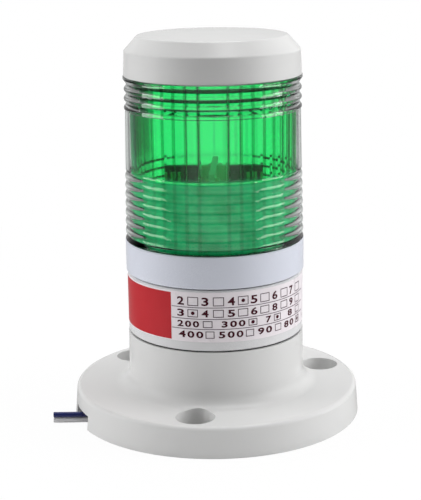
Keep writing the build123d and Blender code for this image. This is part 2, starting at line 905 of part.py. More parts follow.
with BuildPart() as top_cap:
    with BuildSketch(Plane.XZ):
        with BuildLine():
            half_way = (cap_rim_radius / 2, cap_rim + cap_dome_rise * 3 / 4)
            dome = ThreePointArc((0, cap_peak), half_way, (cap_rim_radius, cap_rim))
            Polyline(
                dome @ 1,
                (cap_shoulder_radius, cap_shoulder),
                (cap_radius, cap_bottom),
                (cap_lip_bore, cap_bottom),
                (cap_lip_bore, cap_lip_top),
                (cap_bore, cap_lip_top),
                (cap_bore, cap_shoulder),
                (cap_bore - cap_bevel_run, cap_inner_rim),
                (0, cap_inner_rim),
                (0, cap_peak),
            )
        make_face()
    revolve(axis=Axis.Z)
    round_edges = top_cap.edges().filter_by(GeomType.CIRCLE)
    bevel_edges = round_edges.filter_by(circle_at(cap_rim_radius, cap_rim))
    bevel_edges += round_edges.filter_by(circle_at(cap_shoulder_radius, cap_shoulder))
    fillet(bevel_edges, cap_round)
    round_edges = top_cap.edges().filter_by(GeomType.CIRCLE)
    fillet(round_edges.filter_by(circle_at(cap_radius, cap_bottom)), cap_edge)
    bayonet_slots(
        cap_lug_azimuth, cap_bore - face_gap, cap_slot_radius, cap_lug_low, cap_lip_top - face_gap, -1
    )
save(top_cap, "top_cap")


# Leads: down from the connector, round to the standing face, out through the rim's notch

lead_start = web_top + grommet_lip_thickness + tie_thickness
lead_fall = 7.4
plan_route = [(-20.9, -9.5), (-35.2, -12.9), (-46.2, -12.6)]
BEND_SHARE = 0.45


def lead_route(side, rest_height):
    """Points of one lead: the fall through the grommet, the slope, then the plan route."""
    away = -side * lead_spacing / 2
    corner = lead_fall + (1 - side) / 2 * lead_spacing * tan(radians(TURN / 16))
    foot = away + corner - rest_height
    points = [(*polar(away, lead_azimuth), lead_start), (*polar(away, lead_azimuth), corner)]
    points.append((*polar(foot, lead_azimuth), rest_height))
    return points + [(x, y, rest_height) for x, y in plan_route]


def bend_radii(points):
    """Largest gentle radius that both runs beside each corner allow."""
    radii = []
    for before, here, after in zip(points, points[1:], points[2:]):
        run_in = Vector(*here) - Vector(*before)
        run_out = Vector(*after) - Vector(*here)
        half_turn = radians(run_in.get_angle(run_out)) / 2
        radii.append(BEND_SHARE * min(run_in.length, run_out.length) / tan(half_turn))
    return radii


lead_heights = {"white_lead": (1, lead_radius), "blue_lead": (-1, lead_radius + lead_spacing)}
for lead_name, (side, rest_height) in lead_heights.items():
    points = lead_route(side, rest_height)
    radii = bend_radii(points)
    with BuildPart() as lead:
        with BuildLine() as route:
            FilletPolyline(*points, radius=radii)
        with BuildSketch(Plane(origin=points[0], z_dir=(0, 0, -1))):
            Circle(lead_radius)
        sweep(path=route.wires()[0])
    save(lead, lead_name)
    lead_length = route.wires()[0].length
    tube_volume = pi * lead_radius**2 * lead_length
    print(lead_name, "length", round(lead_length, 2), "bend radii", [round(bend, 1) for bend in radii])
    print(lead_name, "volume over section times length", round(lead.part.volume / tube_volume, 5))
    print(lead_name, "points", [tuple(round(value, 2) for value in point) for point in points])

with BuildPart() as strain_tie:
    tie_low = web_top + grommet_lip_thickness
    tie_high = tie_low + tie_thickness
    lead_slot(lead_hole_width + 2 * tie_wall, lead_hole_length + 2 * tie_wall, tie_low, tie_high)
    lead_slot(lead_hole_width, lead_hole_length, tie_low, tie_high, Mode.SUBTRACT)
save(strain_tie, "strain_tie")

with BuildPart() as lead_connector:
    with BuildSketch(level(lead_start, lead_azimuth)):
        Rectangle(connector_length, connector_width)
    extrude(amount=driver_board_bottom - lead_start)
    chamfer(lead_connector.edges().filter_by(Axis.Z), connector_way / 2)
save(lead_connector, "lead_connector")

print("height", round(cap_peak, 2), "flange", round(2 * flange_radius, 2))
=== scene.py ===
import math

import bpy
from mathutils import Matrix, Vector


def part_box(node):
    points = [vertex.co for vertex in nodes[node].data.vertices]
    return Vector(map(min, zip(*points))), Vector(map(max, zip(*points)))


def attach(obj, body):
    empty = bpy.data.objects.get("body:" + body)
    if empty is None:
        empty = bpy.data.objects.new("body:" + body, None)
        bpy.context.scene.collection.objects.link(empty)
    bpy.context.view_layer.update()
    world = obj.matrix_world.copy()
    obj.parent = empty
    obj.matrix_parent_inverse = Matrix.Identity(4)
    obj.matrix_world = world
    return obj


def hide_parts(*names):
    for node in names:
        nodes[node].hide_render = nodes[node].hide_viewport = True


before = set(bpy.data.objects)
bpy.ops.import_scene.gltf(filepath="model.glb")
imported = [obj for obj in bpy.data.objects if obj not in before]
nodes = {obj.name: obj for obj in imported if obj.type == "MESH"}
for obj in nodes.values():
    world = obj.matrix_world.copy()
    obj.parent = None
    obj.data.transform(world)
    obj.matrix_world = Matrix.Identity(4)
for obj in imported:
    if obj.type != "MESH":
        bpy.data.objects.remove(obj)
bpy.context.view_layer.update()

# %% [markdown]
# # A stack light in a studio
# The solid parts of this one-tier signal light come in with the frame: a drilled flange, a body, a ring, a clear
# lens over a green sleeve, a cap, and the boards inside. This lesson dresses them. It makes the camera, the two
# leads, the label's print, the finishes and the light. All lengths are in metres, so MM turns millimetres into them.

MM = 0.001

# %% [markdown]
# The photograph was taken from a little above the cap, close to the light, so its upright lines lean and the
# rings open downwards. A camera fitted to the flange's circle and the rings gives the distance, the height and
# the tilt. Its lens is long, about 100 mm on a 36 mm frame. The three directions below are the camera's own
# right, up and backward, and together with its place they make its matrix.

# %% Camera
CAMERA_PLACE = Vector((0.0, -388.8, 144.8)) * MM
PITCH, YAW, ROLL = (math.radians(angle) for angle in (14.17, -0.18, -0.80))
SENSOR_WIDTH = 36.0
FOCAL_PIXELS, PICTURE_PIXELS = 1412, 500
ahead = Vector((math.sin(YAW) * math.cos(PITCH), math.cos(YAW) * math.cos(PITCH), -math.sin(PITCH)))
level_right = Vector((math.cos(YAW), -math.sin(YAW), 0.0))
level_up = level_right.cross(ahead)
right = level_right * math.cos(ROLL) + level_up * math.sin(ROLL)
up = level_up * math.cos(ROLL) - level_right * math.sin(ROLL)

camera = bpy.data.objects.new("camera", bpy.data.cameras.new("camera"))
bpy.context.scene.collection.objects.link(camera)
turn = Matrix((right, up, -ahead)).transposed()
camera.matrix_world = Matrix.Translation(CAMERA_PLACE) @ turn.to_4x4()
camera.data.sensor_width = SENSOR_WIDTH
camera.data.lens = SENSOR_WIDTH * FOCAL_PIXELS / PICTURE_PIXELS
camera.data.clip_start, camera.data.clip_end = 0.02, 20
bpy.context.scene.camera = camera
print("camera stands", round(CAMERA_PLACE.length, 3), "m from the origin")

# %% [markdown]
# Two thin leads hang out of the connector, fall through the rubber grommet, and lie one on the other along the
# bench until they leave by the notch in the rim. They end cut square, just outside it. A wire bends
# smoothly, so each lead is one curve drawn as a round tube, with the route's corners as the points that pull it.
# A curve's box is padded by its points' radius, which is 1 m unless it is set. So the points carry the lead's
# radius, and a bevel depth of 1 takes it as it is.

# %% The two leads
LEAD_RADIUS = 0.75
LEAD_ROUTES = {
    "white": [(0.73, 0.34, 16.1), (0.73, 0.34, 7.4), (-5.3, -2.47, 0.75), (-20.9, -9.5, 0.75),
              (-35.2, -12.9, 0.75), (-46.2, -12.6, 0.75)],
    "blue": [(-0.73, -0.34, 16.1), (-0.73, -0.34, 8.06), (-5.9, -2.75, 2.35), (-20.9, -9.5, 2.35),
             (-35.2, -12.9, 2.35), (-46.2, -12.6, 2.35)],
}


def make_lead(colour):
    """One lead as a smooth tube along its route."""
    route = LEAD_ROUTES[colour]
    curve = bpy.data.curves.new(f"{colour}_insulation", "CURVE")
    curve.dimensions = "3D"
    line = curve.splines.new("NURBS")
    line.points.add(len(route) - 1)
    for point, place in zip(line.points, route):
        point.co = (*(Vector(place) * MM), 1.0)
        point.radius = LEAD_RADIUS * MM
    line.order_u = 3
    line.use_endpoint_u = True
    curve.resolution_u = 16
    curve.bevel_depth = 1.0
    curve.bevel_resolution = 4
    curve.use_fill_caps = True
    lead = bpy.data.objects.new(f"{colour}_insulation", curve)
    bpy.context.scene.collection.objects.link(lead)
    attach(lead, "base")
    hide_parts(f"{colour}_lead")
    return lead


leads = {colour: make_lead(colour) for colour in LEAD_ROUTES}

# %% [markdown]
# A finish is a small graph of shader nodes. Writing it as arithmetic is easier to read than wiring it by hand, so
# `Socket` wraps one output and lets Python's operators add Math nodes.

# %% A socket that can be added and multiplied
class Socket:
    """An output of a node, for use in a Python expression."""

    def __init__(self, finish, output):
        self.finish, self.output = finish, output

    def math(self, operation, *values):
        """A Math node of these values, which may be sockets or numbers."""
        return self.finish.node("ShaderNodeMath", {"operation": operation}, dict(enumerate(values)))

    def __add__(self, other):
        return self.math("ADD", self, other)

    def __sub__(self, other):
        return self.math("SUBTRACT", self, other)

    def __rsub__(self, other):
        return self.math("SUBTRACT", other, self)

    def __mul__(self, other):
        return self.math("MULTIPLY", self, other)

    __radd__ = __add__
    __rmul__ = __mul__

    def __neg__(self):
        return self * -1.0

    def __abs__(self):
        return self.math("ABSOLUTE", self)

    def within(self, period):
        """What is left of the value after whole periods, from 0 up."""
        return self.math("FLOORED_MODULO", self, period)

    def most(self, other):
        """The larger of two values."""
        return self.math("MAXIMUM", self, other)

    def above(self, limit):
        """1 where the value is above the limit, else 0."""
        return self.math("GREATER_THAN", self, limit)

    def span(self, low, high):
        """From low, where the value is 0, to high, where it is 1."""
        return self * (high - low) + low

    def ramp(self, low, high):
        """Smooth rise from 0 at the low value to 1 at the high one, or a fall where high is below low."""
        return self.finish.node(
            "ShaderNodeMapRange", {"interpolation_type": "SMOOTHSTEP"},
            {"Value": self, "From Min": low, "From Max": high})

    def part(self, index):
        """One number of a vector: 0, 1 or 2 for x, y or z."""
        return self.finish.node("ShaderNodeSeparateXYZ", {}, {"Vector": self}, output=index)

    def off_axis(self):
        """Squared distance of a place from the tower's axis."""
        side, depth = self.part(0), self.part(1)
        return side * side + depth * depth


# %% [markdown]
# `Finish` holds the graph of one material, or of the world. Its `node` makes any other node: its settings first,
# then the values or links of its inputs. Colours go through Mix, which keeps all three parts, where a Math node
# would turn them grey.

# %% A finish, and its one way to make a node
class Finish:
    """The nodes of a material or of the world."""

    def __init__(self, owner):
        owner.use_nodes = True
        self.owner, self.tree = owner, owner.node_tree
        self.tree.nodes.clear()

    def node(self, kind, settings=None, values=None, output=0):
        """Any node: its settings, then the values or links of its inputs. Gives one of its outputs, if any."""
        made = self.tree.nodes.new(kind)
        for name, value in (settings or {}).items():
            setattr(made, name, value)
        for name, value in (values or {}).items():
            if isinstance(value, Socket):
                self.tree.links.new(value.output, made.inputs[name])
            elif made.inputs[name].type == "RGBA":
                made.inputs[name].default_value = (*value, 1.0)
            else:
                made.inputs[name].default_value = value
        return Socket(self, made.outputs[output]) if made.outputs else None

    def place(self):
        """Where a point is on the object, in metres."""
        return self.node("ShaderNodeTexCoord", output="Object")

    def noise(self, per_metre, detail=3.0):
        """Cloudy values about 0.5, with a number of blotches per metre."""
        return self.node("ShaderNodeTexNoise", {"noise_dimensions": "3D"},
                         {"Vector": self.place(), "Scale": per_metre, "Detail": detail})

    def blend(self, share, first, second):
        """A colour between two others."""
        return self.node("ShaderNodeMix", {"data_type": "RGBA"}, {0: share, 6: first, 7: second}, output=2)

    def mixed(self, share, first, second):
        """A shader between two others."""
        return self.node("ShaderNodeMixShader", {}, {0: share, 1: first, 2: second})

    def bump(self, height, depth, strength=1.0):
        """Small relief of a height from 0 to 1 and a depth in metres."""
        return self.node("ShaderNodeBump", {}, {"Height": height, "Distance": depth, "Strength": strength})

    def shader(self, **values):
        """A Principled shader; a name's underscores stand for spaces."""
        named = {name.replace("_", " "): value for name, value in values.items()}
        return self.node("ShaderNodeBsdfPrincipled", {}, named)

    def surface(self, shader, end="ShaderNodeOutputMaterial"):
        """Links the finished shader to the end of the graph, and gives the material or world."""
        self.node(end, values={"Surface": shader})
        return self.owner


def new_finish(name):
    """The empty graph of a new material."""
    return Finish(bpy.data.materials.new(name))


# %% [markdown]
# The flange, the body, the ring and the cap are injection-moulded in a pale grey ABS. It is nearly plain: what
# makes it real is a satin gloss that wavers a little, a very fine spark-eroded grain, and a colour that drifts by
# a few percent. The ring leans a little to blue in the photograph, the other mouldings don't.

# %% Moulded plastic
COLOUR_DRIFT = 0.03
GRAIN_DEPTH = 0.0036 * MM


def moulded(name, colour, roughness=0.21):
    """Satin moulded plastic with a faint grain."""
    finish = new_finish(name)
    clouds = finish.noise(45.0, 2.0)
    fine = finish.noise(4200.0, 2.0)
    darker = tuple(part * (1 - COLOUR_DRIFT) for part in colour)
    return finish.surface(finish.shader(
        Base_Color=finish.blend(clouds, darker, colour),
        Roughness=clouds * 0.08 + fine * 0.06 + (roughness - 0.07),
        IOR=1.5,
        Normal=finish.bump(fine, GRAIN_DEPTH, 0.5),
    ))


HOUSING_GREY = (0.72, 0.72, 0.715)
RING_BLUE_GREY = (0.69, 0.715, 0.80)
BODY_GREY = (0.74, 0.74, 0.75)
materials = {
    "housing": moulded("housing_grey", HOUSING_GREY),
    "ring": moulded("ring_grey", RING_BLUE_GREY, 0.26),
    "body": moulded("body_grey", BODY_GREY, 0.27),
}
print("housing albedo:", HOUSING_GREY)

# %% [markdown]
# The lens is clear polycarbonate and has real thickness, so a Principled shader with full transmission bends the
# light as the real one does: the beads turn into dark and bright lines by themselves. Where the eye looks along
# the wall, Layer Weight paints shade into the colour, a grey-green edge tint that darkens the lens's outline.

# %% Clear lens
EDGE_FROM, EDGE_FULL = 0.55, 0.97


def clear_plastic(name, colour, edge_shade_colour):
    """Clear plastic with painted shade at its edges and polish that wavers a little."""
    finish = new_finish(name)
    clouds = finish.noise(60.0, 3.0)
    # painted shade: the colour turns to the edge colour where the eye looks along the surface
    edge = finish.node("ShaderNodeLayerWeight", {}, {"Blend": 0.5}, output="Facing").ramp(EDGE_FROM, EDGE_FULL)
    return finish.surface(finish.shader(
        Base_Color=finish.blend(edge, colour, edge_shade_colour),
        Roughness=clouds * 0.015 + 0.005,
        Transmission_Weight=1.0,
        IOR=1.49,
    ))


# The last colour is the painted edge shade.
materials["clear"] = clear_plastic("clear_lens", (0.97, 0.985, 0.975), (0.36, 0.46, 0.41))
print("the lens's edge tint begins at a facing of", EDGE_FROM)

# %% [markdown]
# The sleeve inside is dyed green. Its upright flutes are grooves in the bore that throw the light aside, so each
# reads as a dark green line. They stand at an even pitch round the tower, except for the plain window in front.
# The flutes are solid already, but their lines read darker on the real sleeve than a groove alone makes them, so
# painted shade darkens each line further. The angle round the tower counts from the front. The first flute stands
# to its right, and what is left of the angle after whole pitches says how far a point is from its flute.

# %% Where the flutes are
FLUTES = 41
FLUTE_FIRST, FLUTE_PITCH = 9.7, 8.515
LINE_HALF = 1.25


def flute_line(degrees):
    """1 on the line of a flute and 0 beside it, and in the plain window in front."""
    turned = (degrees + (360.0 - FLUTE_FIRST + FLUTE_PITCH / 2)).within(360.0)
    from_line = abs(turned.within(FLUTE_PITCH) - FLUTE_PITCH / 2)
    line = from_line.ramp(LINE_HALF * 1.15, LINE_HALF * 0.85)
    return line * turned.ramp(FLUTES * FLUTE_PITCH, FLUTES * FLUTE_PITCH - 0.1)


print("flutes:", FLUTES, "from", FLUTE_FIRST, "degrees on, every", FLUTE_PITCH, "degrees")

# %% [markdown]
# On the left side the sleeve is plain too, and above the boards it carries painted shade: a darker green with an
# edge that noise makes streaky.
# Below about 70 mm the sleeve looks milky, mostly in front: a Mix Shader adds a surface there that scatters light
# back, and a Translucent one that scatters it through. Only the outside of the sleeve has it, or the light would be
# scattered twice. The sleeve's IOR is near 1, so that its flutes don't break up what stands behind them.

# %% Green sleeve
WINDOW_EDGE, SHADE_EDGE = -47.0, -88.0
SHADE_LOW, SHADE_HIGH = 69.0 * MM, 83.0 * MM
STREAK_REACH = 7.0 * MM
OUTSIDE_RADIUS = 22.6 * MM
BACK_FROM, FRONT_FROM = -8.0 * MM, 4.0 * MM
BACK_SHARE = 0.4
WINDOW_FADE = 0.9
MILK_LOW, MILK_HIGH = 69.5 * MM, 72.0 * MM
MILKY_GREEN = (0.01, 0.95, 0.33)
MILKY_LINES = 0.35
LOWER_MILK, BLOTCHES, HAZE = 0.82, 0.9, 0.04
THROUGH_BASE = 1.2


def dyed_plastic(name, colour, flute_shade_colour, shade_colour):
    """Green plastic with painted shade on its upright flutes and on a plain part on the left, and a milky lower
    part.
    """
    finish = new_finish(name)
    where = finish.place()
    side, depth, height = (where.part(index) for index in range(3))
    degrees = side.math("ARCTAN2", side, -depth) * math.degrees(1.0)
    left_window = degrees.ramp(WINDOW_EDGE, WINDOW_EDGE - 1.0)
    outside = where.off_axis().above(OUTSIDE_RADIUS * OUTSIDE_RADIUS)
    facing = (-depth).ramp(BACK_FROM, FRONT_FROM).span(BACK_SHARE, 1.0)
    # painted shade: the flutes' dark lines, fainter on the back half and in the plain window on the left
    lines = flute_line(degrees) * facing * outside * (1 - left_window * WINDOW_FADE)
    streaks = finish.noise(150.0, 2.0) * STREAK_REACH
    # painted shade on the plain left part, above the boards
    shade = (height + streaks).ramp(SHADE_LOW, SHADE_HIGH) * left_window * degrees.ramp(SHADE_EDGE, SHADE_EDGE + 2.0)
    shaded = finish.blend(shade, finish.blend(lines, colour, flute_shade_colour), shade_colour)
    clouds = finish.noise(60.0, 3.0)
    clear = finish.shader(
        Base_Color=shaded, Roughness=clouds * 0.03 + 0.05, Transmission_Weight=1.0, IOR=1.12)
    # painted shade of the flutes, fainter in the milky part
    back = finish.shader(Base_Color=finish.blend(lines * MILKY_LINES, MILKY_GREEN, flute_shade_colour), Roughness=0.5)
    through = finish.node("ShaderNodeBsdfTranslucent", {}, {"Color": MILKY_GREEN})
    milky = finish.mixed(THROUGH_BASE - facing, back, through)
    blotches = finish.noise(190.0, 2.0) * BLOTCHES + (LOWER_MILK - BLOTCHES / 2)
    milk = height.ramp(MILK_HIGH, MILK_LOW) * outside * blotches * facing * facing + clouds * HAZE
    return finish.surface(finish.mixed(milk, clear, milky))


# The second colour is the flutes' painted shade, the third the painted shade on the plain left part.
materials["green"] = dyed_plastic("green_sleeve", (0.18, 0.985, 0.47), (0.005, 0.34, 0.11), (0.03, 0.32, 0.13))
print("the sleeve is milky below", MILK_LOW / MM, "mm")

# %% [markdown]
# The boards are glass-fibre laminate under a green lacquer. Copper tracks show through the lacquer as a slightly
# paler green, in straight runs. A brick pattern gives such runs, and the same mask lifts them a little. The upright
# boards are painted pale, painted light for the light that the lens's beads scatter over them. The front one keeps
# a dark band along its top edge, open in the middle, in the boards' own dark green.

# %% Circuit boards
LANE_HALF = 3.7 * MM
BAND_GREEN = (0.01, 0.09, 0.045)
NO_BAND = 1.0


def laminate(name, lacquer, track, band_from=NO_BAND):
    """Lacquered board with tracks under the lacquer, and a dark band above a height in metres, beside the lane."""
    finish = new_finish(name)
    runs = finish.node(
        "ShaderNodeTexBrick", {"offset": 0.37, "squash": 1.0},
        {"Vector": finish.place(), "Scale": 420.0, "Mortar Size": 0.05, "Brick Width": 0.9, "Row Height": 0.35},
        output="Fac",
    )
    clouds = finish.noise(300.0)
    where = finish.place()
    band = where.part(2).above(band_from) * abs(where.part(0)).above(LANE_HALF)
    return finish.surface(finish.shader(
        Base_Color=finish.blend(band, finish.blend(runs * 0.8 + clouds * 0.2, lacquer, track), BAND_GREEN),
        Roughness=clouds * 0.15 + 0.28,
        Normal=finish.bump(runs, 0.03 * MM),
    ))


materials["board"] = laminate("board_lacquer", (0.02, 0.20, 0.09), (0.06, 0.44, 0.22))
# painted light: a pale lacquer for the light the beads scatter over this board
materials["painted_light_board"] = laminate("painted_light_lacquer", (0.78, 0.95, 0.85), (0.86, 0.98, 0.91))
# painted light: a paler lacquer below the dark band, which is the board's own dark green
materials["banded_board"] = laminate("banded_lacquer", (0.26, 0.74, 0.46), (0.42, 0.88, 0.62), band_from=66.0 * MM)
print("board finishes:", [name for name in materials if "board" in name])

# %% [markdown]
# An LED package is a white cup filled with yellowish phosphor. The many small ones here face four ways, so a
# speckled mix of the two colours reads as cups and phosphor at this size. Plated steel, rubber and the small
# mouldings are two near colours in specks as well, so one function makes them all.

# %% LEDs, metal, rubber and small parts
def speckled(name, first, second, per_metre, roughness, metallic=0.0, depth=0.02, coat=0.0, specular=0.5):
    """Two colours mixed in specks, with matching relief of a depth in millimetres."""
    finish = new_finish(name)
    specks = finish.noise(per_metre, 3.0)
    return finish.surface(finish.shader(
        Base_Color=finish.blend(specks, first, second),
        Roughness=specks * 0.2 + (roughness - 0.1),
        Metallic=metallic,
        Specular_IOR_Level=specular,
        Coat_Weight=coat,
        Normal=finish.bump(specks, depth * MM, 0.6),
    ))


materials.update(
    led=speckled("led_package", (0.85, 0.83, 0.70), (0.78, 0.66, 0.22), 500.0, 0.35),
    steel=speckled("zinc_plate", (0.56, 0.57, 0.58), (0.68, 0.68, 0.66), 900.0, 0.32, 1.0),
    nickel=speckled("nickel_plate", (0.66, 0.62, 0.55), (0.74, 0.70, 0.62), 1500.0, 0.25, 1.0),
    aluminium=speckled("capacitor_sleeve", (0.02, 0.022, 0.05), (0.035, 0.04, 0.08), 700.0, 0.3, coat=0.4),
    rubber=speckled("seal_rubber", (0.012, 0.012, 0.012), (0.03, 0.03, 0.03), 1800.0, 0.6),
    black=speckled("black_moulding", (0.015, 0.015, 0.017), (0.03, 0.03, 0.033), 1400.0, 0.45),
    film_box=speckled("film_capacitor_box", (0.62, 0.44, 0.05), (0.70, 0.52, 0.08), 600.0, 0.35, coat=0.3),
    nylon=speckled("natural_nylon", (0.72, 0.70, 0.62), (0.78, 0.76, 0.70), 900.0, 0.4),
    white_wire=speckled("white_insulation", (0.74, 0.74, 0.75), (0.82, 0.82, 0.83), 700.0, 0.35),
    blue_wire=speckled("blue_insulation", (0.012, 0.018, 0.11), (0.02, 0.03, 0.16), 700.0, 0.3),
)
print("finishes so far:", len(materials))

# %% [markdown]
# The seal under the lens is pale silicone, and only its outer edge is dark. Seen through the foot of the lens, a
# black seal would fill the whole corner.

# %% Seal with a dark edge
DARK_RIM_FROM = 24.8 * MM


def dark_rimmed(name, pale, rim_colour):
    """Pale silicone that is dark towards its outer edge."""
    finish = new_finish(name)
    edge = finish.place().off_axis().above(DARK_RIM_FROM * DARK_RIM_FROM)
    specks = finish.noise(1800.0)
    return finish.surface(finish.shader(
        Base_Color=finish.blend(edge, pale, rim_colour),
        Roughness=specks * 0.2 + 0.5,
        Normal=finish.bump(specks, 0.01 * MM, 0.5),
    ))


materials["lip_seal"] = dark_rimmed("lens_seal", (0.62, 0.64, 0.66), (0.012, 0.014, 0.014))
print("the seal is dark outside", round(DARK_RIM_FROM / MM, 1), "mm")

# %% [markdown]
# Each solid part of the real tower is of one material, so each node gets one finish. The table below goes from
# finish to nodes, which shows at once what is made of the same stuff.

# %% Put the finishes on the nodes and the leads
NODE_FINISH = {
    "housing": ["mounting_flange", "top_cap"],
    "ring": ["module_ring"],
    "body": ["body_housing"],
    "clear": ["outer_lens"],
    "green": ["colour_sleeve"],
    "board": ["driver_board", "contact_board", "led_base_board"],
    "banded_board": ["led_board_front"],
    "painted_light_board": ["led_board_cross"],
    "led": ["leds"],
    "steel": ["housing_screws", "board_screws", "led_screws"],
    "nickel": ["contact_tracks", "spring_contacts"],
    "aluminium": ["filter_capacitor"],
    "rubber": ["neck_seal", "module_seal", "cap_seal", "lead_grommet"],
    "lip_seal": ["lens_seal"],
    "black": ["bridge_rectifier", "choke_coil", "driver_chip", "link_header"],
    "film_box": ["film_capacitor"],
    "nylon": ["lead_connector", "strain_tie"],
}


def wear(thing, finish):
    """Gives a piece one finish."""
    thing.data.materials.clear()
    thing.data.materials.append(materials[finish])


for finish, names in NODE_FINISH.items():
    for name in names:
        wear(nodes[name], finish)
for colour, lead in leads.items():
    wear(lead, f"{colour}_wire")
print("finished nodes:", sum(len(names) for names in NODE_FINISH.values()))

# %% [markdown]
# The label is a printed film wrapped round the body. The print could be a mask in the film's material, but small
# figures need sharp edges. So it is modelled: thin patches that follow the film, a little proud of it. `wrap` turns
# a distance round the body, measured from the front, and a height into a point.

# %% Wrapping the print round the body
PRINT_PROUD = 0.03
label_low, label_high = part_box("type_label")
LABEL_RADIUS = label_high.x / MM + PRINT_PROUD
print("label from", round(label_low.z / MM, 2), "to", round(label_high.z / MM, 2), "mm, radius", LABEL_RADIUS)


def wrap(along, height, proud):
    """Point on the label, in metres, from millimetres round from the front and up from the bench."""
    angle = along / LABEL_RADIUS
    radius = LABEL_RADIUS + proud
    return Vector((math.sin(angle) * radius, -math.cos(angle) * radius, height)) * MM


# %% [markdown]
# The figures are bold and set a little apart. A font's outline, filled flat, gives their faces at once. The size of
# a font is more than the height of its figures, and a small offset of the outline makes them bold.

# %% Flat figures
FIGURE_SHARE = 0.70
BOLDER = 0.07
SPREAD = 1.25


def flat_figures(text, height):
    """Points and faces of a plain bold number, in millimetres, from its lower left corner."""
    words = bpy.data.curves.new("number", "FONT")
    words.body, words.size = text, height / FIGURE_SHARE
    words.resolution_u = 3
    words.offset = BOLDER
    words.space_character = SPREAD
    holder = bpy.data.objects.new("number", words)
    bpy.context.scene.collection.objects.link(holder)
    bpy.context.view_layer.update()
    mesh = bpy.data.meshes.new_from_object(holder.evaluated_get(bpy.context.evaluated_depsgraph_get()))
    points = [vertex.co.copy() for vertex in mesh.vertices]
    faces = [tuple(face.vertices) for face in mesh.polygons]
    bpy.data.objects.remove(holder)
    bpy.data.curves.remove(words)
    bpy.data.meshes.remove(mesh)
    return points, faces


print("a 3 has", len(flat_figures("3", 1.0)[1]), "faces")

# %% [markdown]
# All that is printed in one ink becomes one mesh. Long patches are cut into strips, so that they bend with the film.

# %% Ink on the label
STRIP_WIDTH = 0.8
DOT_CORNERS = 12


class Print:
    """Patches of one ink, gathered into one mesh."""

    def __init__(self, name, finish, proud):
        self.name, self.finish, self.proud = name, finish, proud
        self.points, self.faces = [], []

    def patch(self, left, right, low, high):
        """Rectangle that follows the curve, in narrow strips."""
        strips = max(1, math.ceil((right - left) / STRIP_WIDTH))
        start = len(self.points)
        for index in range(strips + 1):
            along = left + (right - left) * index / strips
            self.points += [wrap(along, low, self.proud), wrap(along, high, self.proud)]
        for index in range(strips):
            corner = start + 2 * index
            self.faces.append((corner, corner + 2, corner + 3, corner + 1))

    def box(self, left, right, low, high, line):
        """Outline of a rectangle."""
        self.patch(left, right, low, low + line)
        self.patch(left, right, high - line, high)
        self.patch(left, left + line, low + line, high - line)
        self.patch(right - line, right, low + line, high - line)

    def dot(self, along, height, radius):
        """Filled round spot."""
        start = len(self.points)
        turns = [2 * math.pi * index / DOT_CORNERS for index in range(DOT_CORNERS)]
        self.points += [wrap(along + radius * math.cos(t), height + radius * math.sin(t), self.proud) for t in turns]
        self.faces.append(tuple(range(start, start + DOT_CORNERS)))

    def number(self, text, left, right, low, height):
        """Plain bold number, stretched between two places round the body."""
        points, faces = flat_figures(text, height)
        first = min(point.x for point in points)
        stretch = (right - left) / (max(point.x for point in points) - first)
        start = len(self.points)
        self.points += [wrap(left + (point.x - first) * stretch, low + point.y, self.proud) for point in points]
        self.faces += [tuple(start + index for index in face) for face in faces]

    def make(self):
        """The finished mesh, riding on the base with its ink."""
        mesh = bpy.data.meshes.new(self.name)
        mesh.from_pydata(self.points, [], self.faces)
        thing = bpy.data.objects.new(self.name, mesh)
        bpy.context.scene.collection.objects.link(thing)
        wear(thing, self.finish)
        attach(thing, "base")
        print(self.name, "faces:", len(self.faces))


# %% [markdown]
# Ink on film is a flat colour with a trace of unevenness and the film's own gloss. The film itself is a pinkish
# grey white.

# %% Film and inks
INK_DEPTH = 0.002
materials.update(
    film=speckled("label_film", (0.82, 0.765, 0.80), (0.90, 0.845, 0.88), 220.0, 0.30, depth=INK_DEPTH, coat=0.1),
    red_ink=speckled("red_ink", (0.50, 0.010, 0.018), (0.57, 0.018, 0.028), 160.0, 0.36, depth=INK_DEPTH),
    dark_ink=speckled("dark_ink", (0.055, 0.004, 0.014), (0.08, 0.01, 0.02), 400.0, 0.5, depth=INK_DEPTH,
                      specular=0.2),
    box_ink=speckled("box_ink", (0.06, 0.03, 0.045), (0.09, 0.05, 0.065), 400.0, 0.5, depth=INK_DEPTH, specular=0.2),
    line_ink=speckled("line_ink", (0.10, 0.07, 0.09), (0.14, 0.10, 0.12), 400.0, 0.5, depth=INK_DEPTH, specular=0.2),
)
wear(nodes["type_label"], "film")
print("all finishes:", len(materials))

# %% [markdown]
# The print has a plain red field on the left, and a table of four rows on the right. The field runs over nearly the
# whole height of the film, and three thin rules part the rows. The dark inks stand a hundredth of a millimetre
# further out than the red.

# %% Red field and ruled lines
FIELD_LEFT, FIELD_RIGHT, FIELD_LOW, FIELD_HIGH = -38.5, -12.6, 27.35, 40.6
TABLE_LEFT, TABLE_RIGHT = -12.4, 33.0
RULES = (36.8, 33.6, 30.75)
RULE_HALF = 0.09
DARK_INK_PROUD = 0.01
red = Print("label_red_field", "red_ink", 0.0)
red.patch(FIELD_LEFT, FIELD_RIGHT, FIELD_LOW, FIELD_HIGH)
red.make()
lines = Print("label_rules", "line_ink", DARK_INK_PROUD)
for height in RULES:
    lines.patch(TABLE_LEFT, TABLE_RIGHT, height - RULE_HALF, height + RULE_HALF)

# %% [markdown]
# In each row, plain numbers stand before small tick boxes, and a few boxes hold a dot. A row gives its height, the
# figures' height, the boxes' width, each number with its left and right, the boxes' places, and which are ticked.

# %% Numbers and tick boxes
SHORT_PLACES = [(-10.7, -8.7), (-3.8, -1.9), (3.3, 5.3), (9.8, 11.8), (16.7, 18.6), (23.9, 25.7)]
SHORT_BOXES = [-7.7, -0.7, 6.1, 12.7, 19.9, 27.1]
BOX_LINE, BOX_BELOW, BOX_OVER = 0.2, 0.15, 0.1
TICK_RADIUS = 0.52


def short_row(digits):
    """Six single figures at their places."""
    return [(text, left, right) for text, (left, right) in zip(digits, SHORT_PLACES)]


